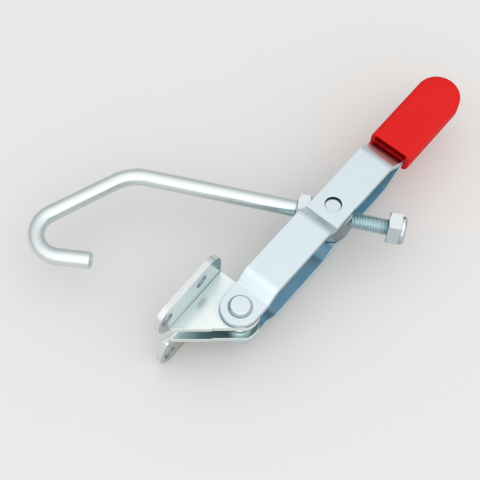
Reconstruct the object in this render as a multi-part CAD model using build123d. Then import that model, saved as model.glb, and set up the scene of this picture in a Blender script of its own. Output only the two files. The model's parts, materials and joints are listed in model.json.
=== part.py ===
"""Over centre toggle latch: two bent base brackets, a bowed handle of two plates with a vinyl
grip, a trunnion between the plates, and an adjustable J-hook held in it by two nuts."""
import os
from math import asin, atan2, cos, degrees, hypot, pi, radians, sin, sqrt, tan

from build123d import *

# Driving sizes, in millimetres and degrees.
sheet = 3.0              # thickness of every pressed plate
rod_dia = 8.0            # J-hook rod and its thread
pivot_dia = 8.0          # pivot rivet shank
pin_dia = 7.9            # trunnion pins
pin_play = 0.05          # radial clearance round a turning shank, pin or rod
rod_play = 0.08          # radial clearance of the rod in the trunnion
slot_play = 0.3          # clearance each side of the rod between the ears
ear_play = 0.25          # clearance between an ear and the handle plate beside it
end_play = 0.2           # clearance between the trunnion barrel and a handle plate

# Base brackets: the flanges lie on the mounting plane y = 0, the ears stand out from it.
pivot_x = 15.7           # screw pattern centre to pivot axis, along the flange
pivot_out = 21.2         # mounting face to pivot axis
ear_rim = 0.4            # an ear's round end stands this far beyond the handle plate's edge
ear_bend = 0.5           # inside radius between ear and flange
trim_start = 10.34       # pattern centre to the trimmed edge of the blank, where the bend begins
trim_off = 9.1           # that edge from the pivot axis
trim_step = 0.4          # small step in it, where two press cuts meet
trim_step_at = 12.3
flange_half = 25.9       # middle plane to the free edge of a flange
flange_back = 17.4       # pattern centre to the flange's hook end
flange_flat = 1.7        # straight left between the two round corners of the hook end
screw_hole_dia = 6.5
screw_pitch_x = 23.0
screw_pitch_z = 37.2

# Pivot rivet and spacer.
head_dia = 10.5
head_top_dia = 8.9
head_rise = 2.0
head_side = 0.8
spacer_dia = 12.0

# Handle: two mirrored plates, in lengths from the pivot along the handle.
handle_turn = -1.4       # handle direction from the flange direction, as it lies
handle_width = 17.8
handle_bend = 38.0       # turn at every bend
bend_radius = 4.0        # on a plate's inner face
bow_start = 9.6
bow_half = 11.9          # middle plane to a plate's inner face in the bow
neck_start = 51.7
tail_start = 99.0
trunnion_at = 66.6
handle_end = 151.3       # centre of the round tail

# Trunnion.
barrel_dia = 19.6
barrel_half = 7.8
pin_recess = 1.5         # pin end below the plate's outer face

# Grip sleeve.
grip_start = 112.0
grip_wall = 2.2
grip_half = 6.3
grip_edge = 3.4
mouth_half = 5.2
mouth_depth = 15.0

# J-hook, in distances from the trunnion axis along the rod.
hook_swing = 63.0        # angle at the trunnion between the rod and the handle, as it lies
tail_end = 34.0
elbow_at = 95.7
elbow_turn = 43.3
elbow_radius = 21.0
leg_length = 33.5        # straight between the elbow and the J
hook_radius = 12.0       # centre line of the J
hook_sweep = 142.9
tip_length = 15.6
tip_chamfer = 0.9

# Nuts.
nut_flats = 14.0
nut_height = 6.0
nut_gap = 0.3            # front nut to trunnion barrel
nut_roll = 62.8          # one corner of each nut, up from level
lock_at = 26.5
lock_hex = 6.0
lock_height = 8.3
collar_dia = 13.3
insert_dia = 10.8
insert_height = 1.7
insert_lip = 0.5

ear_radius = handle_width / 2 + ear_rim
ear_in = rod_dia / 2 + slot_play
ear_out = ear_in + sheet
pivot_half = ear_out + ear_play
neck_half = barrel_half + end_play
rivet_hole = pivot_dia / 2 + pin_play
thread_bore = rod_dia / 2 + pin_play

pivot = Pos(pivot_x, -pivot_out, 0)
handle_frame = pivot * Rot(0, 0, handle_turn)
trunnion_frame = handle_frame * Pos(trunnion_at, 0, 0)
rod_frame = trunnion_frame * Rot(0, 0, 180 - hook_swing)
nut_frame = rod_frame * Rot(nut_roll, 0, 0) * Rot(0, 90, 0)


def slab(face, low, high):
    """A flat outline in plan, standing from one height to another."""
    return Pos(0, 0, low) * extrude(face, high - low)


def turned(*points):
    """A solid of revolution about Z, from (radius, height) points."""
    return revolve(Plane.XZ * make_face(Polyline(*points, close=True)), Axis.Z)


def lower_of(part):
    return mirror(part, about=Plane.XY)


def base_bracket():
    """The upper bracket. Its blank's trimmed edge runs straight on round the bend."""
    tangent_y = -sheet - ear_bend
    tangent_z = ear_out + ear_bend
    mid_radius = ear_bend + sheet / 2
    edge = pivot_x + ear_radius
    along, out = pivot_x + trim_start, pivot_out + tangent_y
    lean = atan2(out, along) + asin(trim_off / hypot(out, along))
    wrap = mid_radius * pi / 2 / tan(lean)

    ear = Polyline((-trim_start, tangent_y), (edge, tangent_y), (edge, -pivot_out),
                   (pivot_x, -pivot_out),
                   (pivot_x - trim_off * sin(lean), -pivot_out - trim_off * cos(lean)),
                   close=True)
    ear = make_face(ear) + Pos(pivot_x, -pivot_out) * Circle(ear_radius)
    shave = Rectangle(pivot_out, trim_off, align=(Align.MAX, Align.MIN))
    shave = Pos(trim_step_at, trim_off - trim_step) * shave
    ear -= Pos(pivot_x, -pivot_out) * Rot(0, 0, 180 - degrees(lean)) * shave

    sections, steps = [], 3
    for step in range(steps + 1):
        turn = pi / 2 * step / steps
        start = -trim_start - wrap * step / steps
        middle = Vector((start + edge) / 2, tangent_y + mid_radius * sin(turn),
                        tangent_z - mid_radius * cos(turn))
        place = Plane(middle, x_dir=(1, 0, 0), z_dir=(0, cos(turn), sin(turn)))
        sections.append(place * Rectangle(edge - start, sheet))
    bend = loft(sections)

    foot = -trim_start - wrap
    rise = tangent_z + (foot + flange_back) * tan(lean)
    wall = Polyline((foot, tangent_z), (edge, tangent_z), (edge, flange_half),
                    (-flange_back, flange_half), (-flange_back, rise), close=True)
    wall = make_face(wall)
    corner = (flange_half - rise - flange_flat) / (1 + tan((pi / 2 - lean) / 2))
    wall = fillet(wall.vertices().sort_by(Axis.Y)[2:], corner)
    for side in (-1, 1):
        wall -= Pos(side * screw_pitch_x / 2, screw_pitch_z / 2) * Circle(screw_hole_dia / 2)

    part = slab(ear, ear_in, ear_out) + bend + extrude(Plane.XZ * wall, sheet)
    return part - pivot * Cylinder(rivet_hole, 4 * ear_out)


def pivot_rivet():
    top = pivot_half + sheet
    half = [(0, 0), (pivot_dia / 2, 0), (pivot_dia / 2, top), (head_dia / 2, top),
            (head_dia / 2, top + head_side), (head_top_dia / 2, top + head_rise),
            (0, top + head_rise)]
    upper = turned(*half)
    return pivot * (upper + lower_of(upper))


def pivot_spacer():
    return pivot * (Cylinder(spacer_dia / 2, 2 * ear_in) - Cylinder(rivet_hole, 3 * ear_in))


def handle_plate():
    """The upper plate: out over the ear, in to the trunnion, in again to the tail."""
    drop = tan(radians(handle_bend))
    inner = FilletPolyline(
        (-handle_width, pivot_half),
        (bow_start, pivot_half),
        (bow_start + (bow_half - pivot_half) / drop, bow_half),
        (neck_start, bow_half),
        (neck_start + (bow_half - neck_half) / drop, neck_half),
        (tail_start, neck_half),
        (tail_start + neck_half / drop, 0),
        (handle_end + handle_width, 0),
        radius=bend_radius,
    )
    strip = make_face(offset(inner, amount=sheet, side=Side.LEFT))
    part = extrude(Plane.XZ * strip, handle_width, both=True)
    outline = Pos(handle_end / 2, 0) * SlotCenterToCenter(handle_end, handle_width)
    part &= slab(outline, -1, bow_half + 2 * sheet)
    part -= Cylinder(pivot_dia / 2, 6 * bow_half)
    part -= Pos(trunnion_at, 0, 0) * Cylinder(pin_dia / 2 + pin_play, 6 * bow_half)
    return handle_frame * part


def grip():
    """A moulded sleeve, snug on the flat tail and open round the plates at its mouth."""
    width = handle_width + 2 * grip_wall
    outline = Pos(handle_end - 2 * width, 0) * SlotCenterToCenter(4 * width, width)
    body = slab(outline, -grip_half, grip_half)
    rims = body.edges().filter_by(lambda e: abs(abs(e.center().Z) - grip_half) < 0.01)
    body = fillet(rims, grip_edge)
    body -= Pos(grip_start - 5 * width, 0, 0) * Box(10 * width, 2 * width, 4 * grip_half)
    tail = Pos(handle_end / 2, 0) * SlotCenterToCenter(handle_end, handle_width)
    body -= slab(tail, -sheet, sheet)
    mouth = Polyline((grip_start, mouth_half), (grip_start + mouth_depth, sheet),
                     (grip_start + mouth_depth, -sheet), (grip_start, -mouth_half), close=True)
    body -= extrude(Plane.XZ * make_face(mouth), handle_width / 2, both=True)
    return handle_frame * body


def trunnion():
    pin = pin_dia / 2
    top = neck_half + sheet - pin_recess
    upper = turned((0, 0), (barrel_dia / 2, 0), (barrel_dia / 2, barrel_half),
                   (pin, barrel_half), (pin, top), (0, top))
    part = upper + lower_of(upper)
    part = trunnion_frame * part
    return part - rod_frame * Rot(0, 90, 0) * Cylinder(rod_dia / 2 + rod_play, 2 * barrel_dia)


def j_hook():
    """One rod: straight through the trunnion, a gentle elbow, then the J."""
    back = elbow_radius * tan(radians(elbow_turn / 2))
    shank = Line((-tail_end, 0), (elbow_at - back, 0))
    elbow = JernArc(shank @ 1, shank % 1, elbow_radius, elbow_turn)
    leg = Line(elbow @ 1, elbow @ 1 + (elbow % 1) * leg_length)
    bow = JernArc(leg @ 1, leg % 1, hook_radius, hook_sweep)
    tip = Line(bow @ 1, bow @ 1 + (bow % 1) * tip_length)
    start = Plane(origin=shank @ 0, z_dir=shank % 0)
    part = sweep(start * Circle(rod_dia / 2), path=Wire([shank, elbow, leg, bow, tip]))
    for end in (shank @ 0, tip @ 1):
        rim = part.edges().filter_by(GeomType.CIRCLE).sort_by_distance(end)[0]
        part = chamfer(rim, tip_chamfer)
    return rod_frame * part


def hexagon(height, both_faces):
    """Hexagon stock with its corners turned off at 30 degrees, on one face or on both."""
    corner = nut_flats / sqrt(3) + 0.1
    face_rim = 0.97 * nut_flats / 2
    cut = (corner - face_rim) * tan(radians(30))
    low = [(0, 0), (face_rim, 0), (corner, cut)]
    high = [(corner, height - cut), (face_rim, height)] if both_faces else [(corner, height)]
    blank = extrude(RegularPolygon(nut_flats / 2, 6, major_radius=False, rotation=30), height)
    return blank & turned(*low, *high, (0, height))


def front_nut():
    part = hexagon(nut_height, both_faces=True) - Cylinder(thread_bore, 4 * nut_height)
    return nut_frame * Pos(0, 0, barrel_dia / 2 + nut_gap) * part


def lock_nut():
    """Its collar points away from the trunnion and holds the nylon ring."""
    rim = collar_dia / 2
    seat = lock_height - insert_lip - insert_height
    collar = turned((0, 0), (rim, 0), (rim, lock_height - 0.9), (rim - 0.7, lock_height),
                    (0, lock_height))
    part = hexagon(lock_hex, both_faces=False) + collar - Cylinder(thread_bore, 4 * lock_height)
    part -= Pos(0, 0, seat + lock_height) * Cylinder(insert_dia / 2, 2 * lock_height)
    return nut_frame * Pos(0, 0, -lock_at) * Rot(180, 0, 0) * part


def lock_nut_insert():
    seat = lock_height - insert_lip - insert_height
    part = turned((thread_bore, 0), (insert_dia / 2, 0), (insert_dia / 2, insert_height),
                  (thread_bore, insert_height))
    return nut_frame * Pos(0, 0, -lock_at - seat) * Rot(180, 0, 0) * part


bracket = base_bracket()
plate = handle_plate()
nodes = {
    "base_bracket_upper": bracket,
    "base_bracket_lower": lower_of(bracket),
    "pivot_spacer": pivot_spacer(),
    "pivot_rivet": pivot_rivet(),
    "handle_plate_upper": plate,
    "handle_plate_lower": lower_of(plate),
    "grip": grip(),
    "trunnion": trunnion(),
    "front_nut": front_nut(),
    "lock_nut": lock_nut(),
    "lock_nut_insert": lock_nut_insert(),
    "j_hook": j_hook(),
}
os.makedirs("parts", exist_ok=True)
for name, part in nodes.items():
    export_step(part, f"parts/{name}.step")
    print(name, len(part.solids()), round(part.volume, 1))
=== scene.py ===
import json
from math import ceil, cos, pi, radians, sin, tan

import bmesh
import bpy
from mathutils import Matrix, Quaternion, Vector


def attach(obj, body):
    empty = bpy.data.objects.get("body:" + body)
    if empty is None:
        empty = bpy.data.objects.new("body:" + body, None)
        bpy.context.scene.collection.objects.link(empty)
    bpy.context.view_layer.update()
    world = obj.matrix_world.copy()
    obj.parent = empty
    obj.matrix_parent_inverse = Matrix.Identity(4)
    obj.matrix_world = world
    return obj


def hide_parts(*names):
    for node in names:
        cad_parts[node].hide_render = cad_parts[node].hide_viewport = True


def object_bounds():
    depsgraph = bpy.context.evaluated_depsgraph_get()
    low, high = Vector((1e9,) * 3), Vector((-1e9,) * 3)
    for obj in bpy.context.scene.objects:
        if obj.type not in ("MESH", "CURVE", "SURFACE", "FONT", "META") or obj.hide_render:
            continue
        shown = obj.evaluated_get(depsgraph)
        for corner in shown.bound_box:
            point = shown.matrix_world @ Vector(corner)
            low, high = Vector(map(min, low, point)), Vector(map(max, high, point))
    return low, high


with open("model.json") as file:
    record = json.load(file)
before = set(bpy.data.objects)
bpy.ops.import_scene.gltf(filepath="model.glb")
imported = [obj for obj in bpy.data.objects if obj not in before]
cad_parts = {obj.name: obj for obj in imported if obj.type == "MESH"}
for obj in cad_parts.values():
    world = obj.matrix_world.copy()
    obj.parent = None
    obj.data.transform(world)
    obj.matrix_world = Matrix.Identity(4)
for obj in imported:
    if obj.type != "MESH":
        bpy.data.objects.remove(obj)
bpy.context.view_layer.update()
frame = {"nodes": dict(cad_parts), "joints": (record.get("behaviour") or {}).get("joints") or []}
mm = 0.001
zUp = Vector((0, 0, 1))
joints = {joint["name"]: joint for joint in frame["joints"]}
trunnionAxis = Vector(joints["hook_swing"]["pos_m"])
rodDirection = Vector(joints["rod_slide"]["axis"])
colourSocket, numberSocket = "NodeSocketColor", "NodeSocketFloat"

# settings are in millimetres and degrees, but the studio and the camera's distances are in metres


def newGroup(name, inputs, outputs):
    group = bpy.data.node_groups.new(name, "ShaderNodeTree")
    for way, sockets in (("INPUT", inputs), ("OUTPUT", outputs)):
        for socketName, kind in sockets:
            group.interface.new_socket(socketName, in_out=way, socket_type=kind)
    return group, group.nodes.new("NodeGroupInput"), group.nodes.new("NodeGroupOutput")


def placeGroup(tree, group, **values):
    node = tree.nodes.new("ShaderNodeGroup")
    node.node_tree = group
    for socketName, value in values.items():
        node.inputs[socketName].default_value = value
    return node


def link(tree, source, target):
    tree.links.new(source, target)


def mathNode(tree, operation, first, second):
    node = tree.nodes.new("ShaderNodeMath")
    node.operation = operation
    for socket, value in zip(node.inputs, (first, second)):
        if isinstance(value, bpy.types.NodeSocket):
            link(tree, value, socket)
        else:
            socket.default_value = value
    return node.outputs[0]


def noiseNode(tree, coordinates, scale, detail, roughness):
    node = tree.nodes.new("ShaderNodeTexNoise")
    link(tree, coordinates, node.inputs["Vector"])
    node.inputs["Scale"].default_value = scale
    node.inputs["Detail"].default_value = detail
    node.inputs["Roughness"].default_value = roughness
    return node.outputs["Fac"]


def rangeNode(tree, value, low, high, newLow, newHigh, smooth=False):
    node = tree.nodes.new("ShaderNodeMapRange")
    node.interpolation_type = "SMOOTHSTEP" if smooth else "LINEAR"
    link(tree, value, node.inputs["Value"])
    for name, number in (("From Min", low), ("From Max", high), ("To Min", newLow), ("To Max", newHigh)):
        node.inputs[name].default_value = number
    return node.outputs["Result"]


def mixColours(tree, factor, first, second):
    # sockets 6 and 7 are the node's two colours, and its third output is the mixed one
    node = tree.nodes.new("ShaderNodeMix")
    node.data_type = "RGBA"
    for socket, value in ((node.inputs[0], factor), (node.inputs[6], first), (node.inputs[7], second)):
        if isinstance(value, bpy.types.NodeSocket):
            link(tree, value, socket)
        else:
            socket.default_value = value
    return node.outputs[2]


def objectPlace(tree):
    return tree.nodes.new("ShaderNodeTexCoord").outputs["Object"]


def addRelief(tree, height, strength, depth, shader):
    relief = tree.nodes.new("ShaderNodeBump")
    relief.inputs["Strength"].default_value = strength
    relief.inputs["Distance"].default_value = depth * mm
    link(tree, height, relief.inputs["Height"])
    link(tree, relief.outputs["Normal"], shader.inputs["Normal"])


plating = {
    # scale, detail and roughness of each noise
    "clouds": (70, 4, 0.6), "specks": (900, 2, 0.5), "streaks": (1.0, 2, 0.6),
    "streakTurn": 33, "streakScale": (60, 1400, 300), "streakShare": 0.6,
    "hazeFrom": 0.38, "hazeTo": 0.72, "hazeMost": 0.55,
    "evenLevel": 0.8, "unevenness": 0.08,  # the noise level that leaves the roughness alone, and its swing
    "reliefDepth": 0.02,
}


def platedSurface():
    # colour, roughness and fine height of bright zinc plating
    group, given, out = newGroup(
        "platedSurface",
        [("Metal", colourSocket), ("Haze", colourSocket), ("Roughness", numberSocket),
         ("Unevenness", numberSocket)],
        [("Color", colourSocket), ("Roughness", numberSocket), ("Height", numberSocket)])
    where = objectPlace(group)
    clouds = noiseNode(group, where, *plating["clouds"])
    specks = noiseNode(group, where, *plating["specks"])
    scratch = group.nodes.new("ShaderNodeMapping")
    link(group, where, scratch.inputs["Vector"])
    scratch.inputs["Rotation"].default_value = (0, 0, radians(plating["streakTurn"]))
    scratch.inputs["Scale"].default_value = plating["streakScale"]
    streaks = noiseNode(group, scratch.outputs["Vector"], *plating["streaks"])
    haze = rangeNode(group, clouds, plating["hazeFrom"], plating["hazeTo"], 0.0, plating["hazeMost"])
    link(group, mixColours(group, haze, given.outputs["Metal"], given.outputs["Haze"]), out.inputs["Color"])
    mixed = mathNode(group, "ADD", clouds, mathNode(group, "MULTIPLY", streaks, plating["streakShare"]))
    swing = mathNode(group, "SUBTRACT", mixed, plating["evenLevel"])
    spread = mathNode(group, "MULTIPLY", swing, given.outputs["Unevenness"])
    link(group, mathNode(group, "ADD", given.outputs["Roughness"], spread), out.inputs["Roughness"])
    link(group, mathNode(group, "ADD", specks, streaks), out.inputs["Height"])
    return group


# painted shade and painted reflection, drawn from how closed in a point is: hollowReach, hollowFrom and
# hollowTo set where roomy hollows get the painted reflection tint, gapReach, gapFrom and gapTo where narrow
# gaps get painted shade, and dark is the colour of that painted shade
shade = {
    "hollowReach": 60, "hollowFrom": 0.30, "hollowTo": 0.70,
    "gapReach": 1.1, "gapFrom": 0.45, "gapTo": 0.85, "dark": (0.025, 0.04, 0.05),
    "samples": 8,
}


def openness(tree, reach):
    node = tree.nodes.new("ShaderNodeAmbientOcclusion")
    node.samples = shade["samples"]
    node.inputs["Distance"].default_value = reach * mm
    return node.outputs["AO"]


def paintedCreviceShade():
    # painted shade and painted reflection: narrow gaps and inner corners are painted toward a shade colour
    # by how closed in they are, and roomy hollows get a painted reflection tint, the colour of plate seen
    # in plate
    group, given, out = newGroup(
        "paintedCreviceShade",
        [("Color", colourSocket), ("Dark", colourSocket), ("Crevice", numberSocket),
         ("Hollow", colourSocket)],
        [("Color", colourSocket)])
    roomy = openness(group, shade["hollowReach"])
    hollow = rangeNode(group, roomy, shade["hollowFrom"], shade["hollowTo"], 1.0, 0.0)
    tint = mixColours(group, hollow, (1, 1, 1, 1), given.outputs["Hollow"])
    tinted = group.nodes.new("ShaderNodeVectorMath")
    tinted.operation = "MULTIPLY"
    link(group, given.outputs["Color"], tinted.inputs[0])
    link(group, tint, tinted.inputs[1])
    narrow = openness(group, shade["gapReach"])
    closed = rangeNode(group, narrow, shade["gapFrom"], shade["gapTo"], 1.0, 0.0)
    share = mathNode(group, "MULTIPLY", closed, given.outputs["Crevice"])
    link(group, mixColours(group, share, tinted.outputs[0], given.outputs["Dark"]), out.inputs["Color"])
    return group


plated = platedSurface()
creviced = paintedCreviceShade()


def newMaterial(name, **sockets):
    material = bpy.data.materials.new(name)
    material.use_nodes = True
    shader = material.node_tree.nodes["Principled BSDF"]
    for socketName, value in sockets.items():
        shader.inputs[socketName.replace("_", " ")].default_value = value
    return material, shader


def zincMaterial(name, metal, haze, roughness, hollow, bump=0.3, crevice=0.9):
    material, shader = newMaterial(name, Metallic=1.0)
    tree = material.node_tree
    surface = placeGroup(tree, plated, Metal=(*metal, 1), Haze=(*haze, 1), Roughness=roughness,
                         Unevenness=plating["unevenness"])
    # painted shade in narrow gaps and a painted reflection tint in hollows, laid over the plating's colour
    gaps = placeGroup(tree, creviced, Dark=(*shade["dark"], 1), Crevice=crevice, Hollow=(*hollow, 1))
    link(tree, surface.outputs["Color"], gaps.inputs["Color"])
    link(tree, gaps.outputs["Color"], shader.inputs["Base Color"])
    link(tree, surface.outputs["Roughness"], shader.inputs["Roughness"])
    addRelief(tree, surface.outputs["Height"], bump, plating["reliefDepth"], shader)
    return material


# each tone's hollow is the painted reflection tint for roomy hollows, and crevice is how strongly narrow
# gaps get painted shade
zincTones = {
    "zincHandle": {"metal": (0.665, 0.765, 0.81), "haze": (0.705, 0.795, 0.835), "roughness": 0.32,
                   "hollow": (0.72, 0.84, 0.90)},
    # painted shade: a darker copy of the handle plating for the plates' cut edges
    "zincEdgeShade": {"metal": (0.58, 0.67, 0.71), "haze": (0.63, 0.71, 0.75), "roughness": 0.32,
                 "hollow": (0.72, 0.84, 0.90)},
    # painted shade and painted reflection: a darker, bluer copy of the handle plating for the faces between
    # the two plates
    "zincInsideShade": {"metal": (0.50, 0.69, 0.785), "haze": (0.55, 0.73, 0.815), "roughness": 0.30,
                   "hollow": (0.82, 0.9, 0.94)},
    "zincBracket": {"metal": (0.80, 0.86, 0.845), "haze": (0.84, 0.89, 0.87), "roughness": 0.23,
                    "hollow": (0.68, 0.81, 0.84), "bump": 0.15},
    # painted reflection: a darker copy of the bracket plating for the upper flange's inside face, standing
    # for the shaded ground it reflects
    "zincFlangeShade": {"metal": (0.51, 0.56, 0.57), "haze": (0.56, 0.60, 0.61), "roughness": 0.25,
                   "hollow": (0.70, 0.82, 0.85), "bump": 0.15},
    # painted reflection: a darker, warmer copy of the bracket plating for the lower flange's inside face,
    # standing for the dark ground it reflects
    "zincWarmShade": {"metal": (0.62, 0.625, 0.57), "haze": (0.67, 0.67, 0.62), "roughness": 0.27,
                 "hollow": (0.8, 0.85, 0.85), "bump": 0.15},
    # painted shade: a darker copy of the bracket plating for the flanges' cut edges
    "zincCutEdgeShade": {"metal": (0.70, 0.73, 0.73), "haze": (0.74, 0.77, 0.77), "roughness": 0.27,
                  "hollow": (0.70, 0.82, 0.85), "bump": 0.15},
    # painted shade: a darker copy of the bracket plating for the screw holes' walls
    "zincSlotShade": {"metal": (0.46, 0.54, 0.59), "haze": (0.52, 0.60, 0.64), "roughness": 0.35,
                 "hollow": (0.7, 0.8, 0.85), "bump": 0.15},
    "zincTurned": {"metal": (0.66, 0.74, 0.775), "haze": (0.71, 0.78, 0.80), "roughness": 0.16,
                   "hollow": (0.45, 0.62, 0.70)},
    # painted shade: a darker copy of the turned plating for the rivet's shoulder and the lock nut's sides
    "zincShoulderShade": {"metal": (0.50, 0.55, 0.58), "haze": (0.56, 0.61, 0.64), "roughness": 0.09,
                     "hollow": (0.45, 0.62, 0.70)},
    # painted shade: a near-black copy of the turned plating for the barrel's sides between the plates
    "zincBarrelShade": {"metal": (0.27, 0.30, 0.32), "haze": (0.32, 0.35, 0.37), "roughness": 0.25,
                   "hollow": (0.6, 0.7, 0.75)},
    "zincNut": {"metal": (0.78, 0.83, 0.83), "haze": (0.82, 0.86, 0.86), "roughness": 0.16,
                "hollow": (0.50, 0.62, 0.68)},
    "zincRod": {"metal": (0.67, 0.73, 0.735), "haze": (0.72, 0.77, 0.775), "roughness": 0.24,
                "hollow": (0.55, 0.66, 0.70), "bump": 0.4},
    "zincThread": {"metal": (0.66, 0.80, 0.82), "haze": (0.72, 0.84, 0.86), "roughness": 0.30,
                   "hollow": (0.60, 0.76, 0.80), "crevice": 0.3},
    # painted shade: a near-black copy of the plating for the wall of the trunnion's hole in the handle
    # plates
    "zincHoleShade": {"metal": (0.06, 0.09, 0.11), "haze": (0.09, 0.12, 0.14), "roughness": 0.45,
                 "hollow": (0.4, 0.5, 0.6)},
}
finishes = {name: zincMaterial(name, **tone) for name, tone in zincTones.items()}

# painted reflection and painted shade: from and full are where along the frame's X the plating turns red,
# and red is the painted colour of the vinyl reflected in the plate
mouth = {"from": 119.5, "full": 124.0, "red": (0.66, 0.035, 0.04)}  # along the frame's X


def paintRedMouthReflection(material):
    # painted reflection and painted shade: toward the mouth of the grip the plating's colour is blended to
    # a dark red that stands for the red vinyl it reflects
    tree = material.node_tree
    where = tree.nodes.new("ShaderNodeSeparateXYZ")
    link(tree, objectPlace(tree), where.inputs[0])
    inside = rangeNode(tree, where.outputs["X"], mouth["from"] * mm, mouth["full"] * mm,
                       0.0, 1.0, smooth=True)
    base = tree.nodes["Principled BSDF"].inputs["Base Color"]
    outside = base.links[0].from_socket
    link(tree, mixColours(tree, inside, outside, (*mouth["red"], 1)), base)


paintRedMouthReflection(finishes["zincHandle"])

vinyl = {
    "roughness": 0.42, "specular": 0.01, "deep": (0.62, 0.018, 0.017), "light": (0.68, 0.023, 0.022),
    "clouds": (55, 3, 0.5), "grain": (420, 2, 0.5), "bump": 0.25, "reliefDepth": 0.05,
}
nylon = {
    "roughness": 0.6, "specular": 0.1, "deep": (0.20, 0.008, 0.014), "light": (0.26, 0.012, 0.02),
    "clouds": (300, 3.0, 0.5),
}


def redMaterial(name, settings):
    # a plain red plastic whose colour drifts a little over the surface
    material, shader = newMaterial(name, Roughness=settings["roughness"],
                                   Specular_IOR_Level=settings["specular"])
    tree = material.node_tree
    where = objectPlace(tree)
    clouds = noiseNode(tree, where, *settings["clouds"])
    colour = mixColours(tree, clouds, (*settings["deep"], 1), (*settings["light"], 1))
    link(tree, colour, shader.inputs["Base Color"])
    if "grain" in settings:
        grain = noiseNode(tree, where, *settings["grain"])
        addRelief(tree, grain, settings["bump"], settings["reliefDepth"], shader)
    return material


finishes["redVinyl"] = redMaterial("redVinyl", vinyl)
finishes["redNylon"] = redMaterial("redNylon", nylon)
print("finishes ready")


edgeWork = {"weld": 0.001, "flatWithin": 0.4, "sharpFrom": 32, "segments": 3, "areaWeight": 100}


def soften(node, width):
    # welds the facets, joins the flat ones, rolls the sharp edges over by width and evens the shading
    weld = node.modifiers.new("weld", "WELD")
    weld.merge_threshold = edgeWork["weld"] * mm
    flats = node.modifiers.new("flats", "DECIMATE")
    flats.decimate_type = "DISSOLVE"
    flats.angle_limit = radians(edgeWork["flatWithin"])
    edges = node.modifiers.new("edges", "BEVEL")
    edges.width = width * mm
    edges.segments = edgeWork["segments"]
    edges.limit_method = "ANGLE"
    edges.angle_limit = radians(edgeWork["sharpFrom"])
    edges.use_clamp_overlap = True
    shading = node.modifiers.new("shading", "WEIGHTED_NORMAL")
    shading.weight = edgeWork["areaWeight"]
    shading.mode = "FACE_AREA"
    shading.keep_sharp = False


# how the faces that get a darker copy of the finish, painted shade and reflection, are told apart, by where
# they are and which way they look
picks = {
    "trunnionHole": 4.3,
    "screwHoleX": 11.5, "screwHoleZ": 18.6, "screwHole": 3.35,
    "flangeInsideY": -3.6, "flangeEdgeY": -3.2, "flangeFromZ": 8,
    "looking": 0.5, "cutEdge": 0.3, "shoulder": 0.9,  # shares of the face's normal
}


def inTrunnionHole(face):
    return (face.center - trunnionAxis).xy.length < picks["trunnionHole"] * mm


def inScrewHole(face):
    fromHole = Vector((abs(face.center.x) - picks["screwHoleX"] * mm,
                       abs(face.center.z) - picks["screwHoleZ"] * mm))
    return fromHole.length < picks["screwHole"] * mm


def onCutEdge(face):
    return abs(face.normal.z) < picks["cutEdge"]


def onFlangeInside(face):
    return face.normal.y < -picks["looking"] and face.center.y > picks["flangeInsideY"] * mm


def onFlangeEdge(face):
    if abs(face.normal.y) >= picks["looking"]:
        return False
    return face.center.y > picks["flangeEdgeY"] * mm and abs(face.center.z) > picks["flangeFromZ"] * mm


def looksDown(face):
    return face.normal.z < -picks["looking"]


def looksUp(face):
    return face.normal.z > picks["looking"]


def onBarrelSide(face):
    return abs(face.normal.z) < picks["looking"]


def onShoulder(face):
    return abs(face.normal.z) < picks["shoulder"]


# finish, width of the rolled edge, and the finishes of the faces that differ, which are darker copies of
# the plating that paint shade and reflection
dressing = {
    "base_bracket_upper": {"finish": "zincBracket", "edge": 0.25, "others": [
        ("zincSlotShade", inScrewHole), ("zincCutEdgeShade", onFlangeEdge), ("zincFlangeShade", onFlangeInside)]},
    "base_bracket_lower": {"finish": "zincBracket", "edge": 0.25, "others": [
        ("zincSlotShade", inScrewHole), ("zincCutEdgeShade", onFlangeEdge), ("zincWarmShade", onFlangeInside)]},
    "handle_plate_upper": {"finish": "zincHandle", "edge": 0.2, "others": [
        ("zincHoleShade", inTrunnionHole), ("zincEdgeShade", onCutEdge), ("zincInsideShade", looksDown)]},
    "handle_plate_lower": {"finish": "zincHandle", "edge": 0.2, "others": [
        ("zincHoleShade", inTrunnionHole), ("zincEdgeShade", onCutEdge), ("zincInsideShade", looksUp)]},
    "pivot_spacer": {"finish": "zincBracket", "edge": 0.2, "others": []},
    "pivot_rivet": {"finish": "zincTurned", "edge": 0.5, "others": [("zincShoulderShade", onShoulder)]},
    "trunnion": {"finish": "zincTurned", "edge": 0.25, "others": [("zincBarrelShade", onBarrelSide)]},
    "front_nut": {"finish": "zincNut", "edge": 0.2, "others": []},
    "lock_nut": {"finish": "zincNut", "edge": 0.2, "others": [("zincShoulderShade", onShoulder)]},
    "grip": {"finish": "redVinyl", "edge": 0.4, "others": []},
    "lock_nut_insert": {"finish": "redNylon", "edge": 0.15, "others": []},
}
for nodeName, dress in dressing.items():
    node = frame["nodes"][nodeName]
    node.data.materials.clear()
    node.data.materials.append(finishes[dress["finish"]])
    for face in node.data.polygons:
        face.use_smooth = True
    for finishName, chosen in dress["others"]:
        node.data.materials.append(finishes[finishName])
        for face in node.data.polygons:
            if face.material_index == 0 and chosen(face):
                face.material_index = len(node.data.materials) - 1
    soften(node, dress["edge"])
print("plates, pins, nuts and grip ready")


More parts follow.
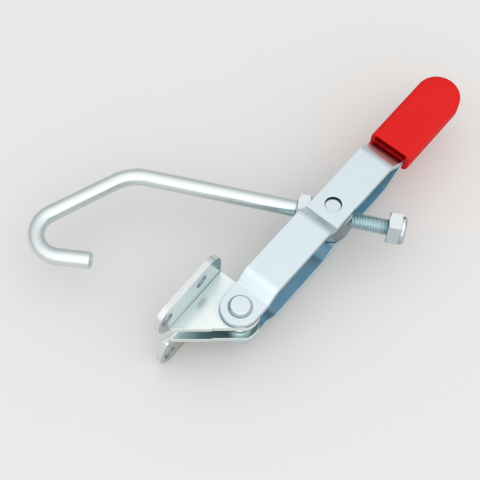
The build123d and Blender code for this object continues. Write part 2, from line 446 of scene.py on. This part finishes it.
# along the rod's own line, with 0 at the trunnion's axis and the hook on the plus side
rod = {
    "radius": 4.0, "around": 64,
    "pitch": 1.25, "threadDepth": 0.72, "threadFrom": -34.0, "threadTo": 16.0, "runOutTurns": 2,
    "crestShares": (0.0, 0.06, 0.12), "rootShares": (0.42, 0.52, 0.60, 0.70),  # of the pitch
    "crestRound": 0.03, "rootRound": 0.05, "endChamfer": 0.9, "plainFrom": 0.9,
    "elbowAt": 95.7, "elbowTurn": 43.3, "elbowRadius": 21.0, "leg": 33.5,
    "bowRadius": 12.0, "bowTurn": 142.9, "tip": 15.6, "bendStep": 3.0,
    "weld": 0.002, "thinnest": 0.001, "sharpFrom": 34,
}


def rodRings():
    # (centre, direction, radius) along the rod in its own plane, from the thread's end to the tip
    rings = []
    place = Vector((rod["threadTo"] + rod["plainFrom"], 0, 0))
    heading = 0.0

    def straight(length):
        nonlocal place
        place = place + length * Vector((cos(heading), sin(heading), 0))

    def bend(turn, radius):
        nonlocal place, heading
        steps = ceil(turn / rod["bendStep"])
        for step in range(steps + 1):
            angle = heading + radians(turn) * step / steps
            centre = place + radius * Vector((sin(angle) - sin(heading), cos(heading) - cos(angle), 0))
            rings.append((centre, angle, rod["radius"]))
        place = rings[-1][0]
        heading += radians(turn)

    rings.append((place, heading, rod["radius"]))
    back = rod["elbowRadius"] * tan(radians(rod["elbowTurn"] / 2))
    straight(rod["elbowAt"] - back - place.x)
    bend(rod["elbowTurn"], rod["elbowRadius"])
    straight(rod["leg"])
    bend(rod["bowTurn"], rod["bowRadius"])
    chamfer = rod["endChamfer"]
    straight(rod["tip"] - chamfer)
    rings.append((place, heading, rod["radius"]))
    straight(chamfer)
    rings.append((place, heading, rod["radius"] - chamfer))
    return rings


def threadRows(shape):
    # the helix as rows of vertices, one turn each, for every point of the thread's form
    radius, pitch, start, end = rod["radius"], rod["pitch"], rod["threadFrom"], rod["threadTo"]
    root = radius - rod["threadDepth"]
    crestSide, rootSide = radius - rod["crestRound"], root + rod["rootRound"]
    form = list(zip(rod["crestShares"], (crestSide, radius, crestSide)))
    form += zip(rod["rootShares"], (rootSide, root, root, rootSide))
    runOutLength = rod["runOutTurns"] * pitch

    def threadRadius(along, wanted):
        opening = radius - rod["endChamfer"] + (along - start)
        runOut = root + (along - (end - runOutLength)) / runOutLength * (radius - root)
        return min(max(wanted, runOut), opening, radius)

    rows = []
    for turn in range(-1, ceil((end - start) / pitch) + 1):
        for phase, wanted in form:
            row = []
            for j in range(rod["around"] + 1):
                along = start + pitch * (turn + phase + j / rod["around"])
                along = min(max(along, start), end)
                angle = 2 * pi * j / rod["around"]
                size = threadRadius(along, wanted)
                row.append(shape.verts.new((along, size * cos(angle), size * sin(angle))))
            rows.append(row)
    return rows


def buildRodMesh():
    shape = bmesh.new()
    around, radius = rod["around"], rod["radius"]
    angles = [2 * pi * j / around for j in range(around)]

    def flatRing(along, size):
        return [shape.verts.new((along, size * cos(angle), size * sin(angle))) for angle in angles]

    rows = threadRows(shape)
    for low, high in zip(rows, rows[1:]):
        for j in range(around):
            corners = (low[j], high[j], high[j + 1], low[j + 1])
            sides = (corners[1].co - corners[0].co).length + (corners[2].co - corners[3].co).length
            if sides > rod["thinnest"]:
                shape.faces.new(corners)
    shape.faces.new(list(reversed(flatRing(rod["threadFrom"], radius - rod["endChamfer"]))))
    previous = flatRing(rod["threadTo"], radius)
    for centre, heading, size in rodRings():
        side = Vector((-sin(heading), cos(heading), 0))
        ring = [shape.verts.new(centre + size * (cos(angle) * side + sin(angle) * zUp)) for angle in angles]
        for j in range(around):
            k = (j + 1) % around
            shape.faces.new((previous[j], ring[j], ring[k], previous[k]))
        previous = ring
    shape.faces.new(previous)
    bmesh.ops.remove_doubles(shape, verts=shape.verts, dist=rod["weld"])
    bmesh.ops.dissolve_degenerate(shape, edges=shape.edges, dist=rod["weld"])
    loose = [vertex for vertex in shape.verts if not vertex.link_faces]
    bmesh.ops.delete(shape, geom=loose, context="VERTS")
    bmesh.ops.recalc_face_normals(shape, faces=shape.faces)
    mesh = bpy.data.meshes.new("hookRod")
    shape.to_mesh(mesh)
    shape.free()
    return mesh


def makePiece(name, mesh, body, material, replaced):
    piece = bpy.data.objects.new(name, mesh)
    bpy.context.scene.collection.objects.link(piece)
    mesh.materials.append(material)
    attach(piece, body)
    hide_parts(*replaced)


rodPlace = Matrix.Translation(trunnionAxis) @ rodDirection.to_track_quat("X", "Z").to_matrix().to_4x4()
rodMesh = buildRodMesh()
rodMesh.transform(rodPlace @ Matrix.Scale(mm, 4))
for face in rodMesh.polygons:
    face.use_smooth = True
rodMesh.set_sharp_from_angle(angle=radians(rod["sharpFrom"]))
makePiece("hookRod", rodMesh, "hook", finishes["zincRod"], ["j_hook"])
rodMesh.materials.append(finishes["zincThread"])
for face in rodMesh.polygons:
    if (face.center - trunnionAxis).dot(rodDirection) < rod["threadTo"] * mm:
        face.material_index = 1
print("hook rod ready:", len(rodMesh.polygons), "faces")


# window is the direction that the brighter light comes from, and the dots say how far it spreads
studio = {
    "floorColour": (0.70, 0.693, 0.68), "floorRoughness": 0.7, "floorSize": 8.0, "floorX": 0.05,
    "floorGap": 0.05 * mm,
    "window": (-0.447, -0.497, 0.745), "farSide": 0.68, "windowSide": 1.36,
    "farDot": -0.30, "windowDot": 0.90,
    "horizonShare": 0.65, "horizonTop": 0.4,
    "lampPlace": (-0.44, -0.55, 0.82), "lampTarget": (0.05, 0, 0), "lampSide": 1.1, "lampPower": 1.0,
}


def buildFloor():
    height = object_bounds()[0][2] - studio["floorGap"]
    bpy.ops.mesh.primitive_plane_add(size=studio["floorSize"], location=(studio["floorX"], 0, height))
    floor = bpy.context.object
    floor.name = "floor"
    material, shader = newMaterial("paleFloor", Roughness=studio["floorRoughness"])
    shader.inputs["Base Color"].default_value = (*studio["floorColour"], 1)
    floor.data.materials.append(material)


def buildWorld():
    # a bright tent, brighter on the window's side, falling off toward the horizon
    world = bpy.data.worlds.new("studioWorld")
    bpy.context.scene.world = world
    world.use_nodes = True
    tree = world.node_tree
    direction = tree.nodes.new("ShaderNodeTexCoord").outputs["Generated"]
    parts = tree.nodes.new("ShaderNodeSeparateXYZ")
    link(tree, direction, parts.inputs[0])
    facing = tree.nodes.new("ShaderNodeVectorMath")
    facing.operation = "DOT_PRODUCT"
    link(tree, direction, facing.inputs[0])
    facing.inputs[1].default_value = Vector(studio["window"]).normalized()
    tent = rangeNode(tree, facing.outputs["Value"], studio["farDot"], studio["windowDot"],
                     studio["farSide"], studio["windowSide"], smooth=True)
    share = rangeNode(tree, parts.outputs["Z"], 0.0, studio["horizonTop"],
                      studio["horizonShare"], 1.0, smooth=True)
    link(tree, mathNode(tree, "MULTIPLY", tent, share), tree.nodes["Background"].inputs["Strength"])
    tree.nodes["Background"].inputs["Color"].default_value = (1, 1, 1, 1)


def addSoftbox():
    data = bpy.data.lights.new("windowSoftbox", "AREA")
    data.shape = "RECTANGLE"
    data.size = studio["lampSide"]
    data.size_y = studio["lampSide"]
    data.energy = studio["lampPower"]
    lamp = bpy.data.objects.new("windowSoftbox", data)
    bpy.context.scene.collection.objects.link(lamp)
    lamp.location = studio["lampPlace"]
    lamp.rotation_mode = "QUATERNION"
    aim = Vector(studio["lampTarget"]) - Vector(studio["lampPlace"])
    lamp.rotation_quaternion = aim.to_track_quat("-Z", "Y")


cameraSet = {
    "azimuth": -54.926, "elevation": 62.513, "roll": 3.435, "distance": 0.55293,
    "lens": 90.7, "sensor": 36, "nearest": 0.01, "target": (0.0458, 0.0022, 0.0),
}


def addCamera():
    azimuth, elevation = radians(cameraSet["azimuth"]), radians(cameraSet["elevation"])
    back = Vector((sin(azimuth) * cos(elevation), -cos(azimuth) * cos(elevation), sin(elevation)))
    data = bpy.data.cameras.new("camera")
    data.lens = cameraSet["lens"]
    data.sensor_width = cameraSet["sensor"]
    data.clip_start = cameraSet["nearest"]
    camera = bpy.data.objects.new("camera", data)
    bpy.context.scene.collection.objects.link(camera)
    camera.location = Vector(cameraSet["target"]) + back * cameraSet["distance"]
    camera.rotation_mode = "QUATERNION"
    level = (-back).to_track_quat("-Z", "Y")
    camera.rotation_quaternion = level @ Quaternion((0, 0, 1), radians(cameraSet["roll"]))
    bpy.context.scene.camera = camera


buildFloor()
buildWorld()
addSoftbox()
addCamera()
bpy.context.scene.view_settings.view_transform = "Standard"
print("floor, light and camera ready")
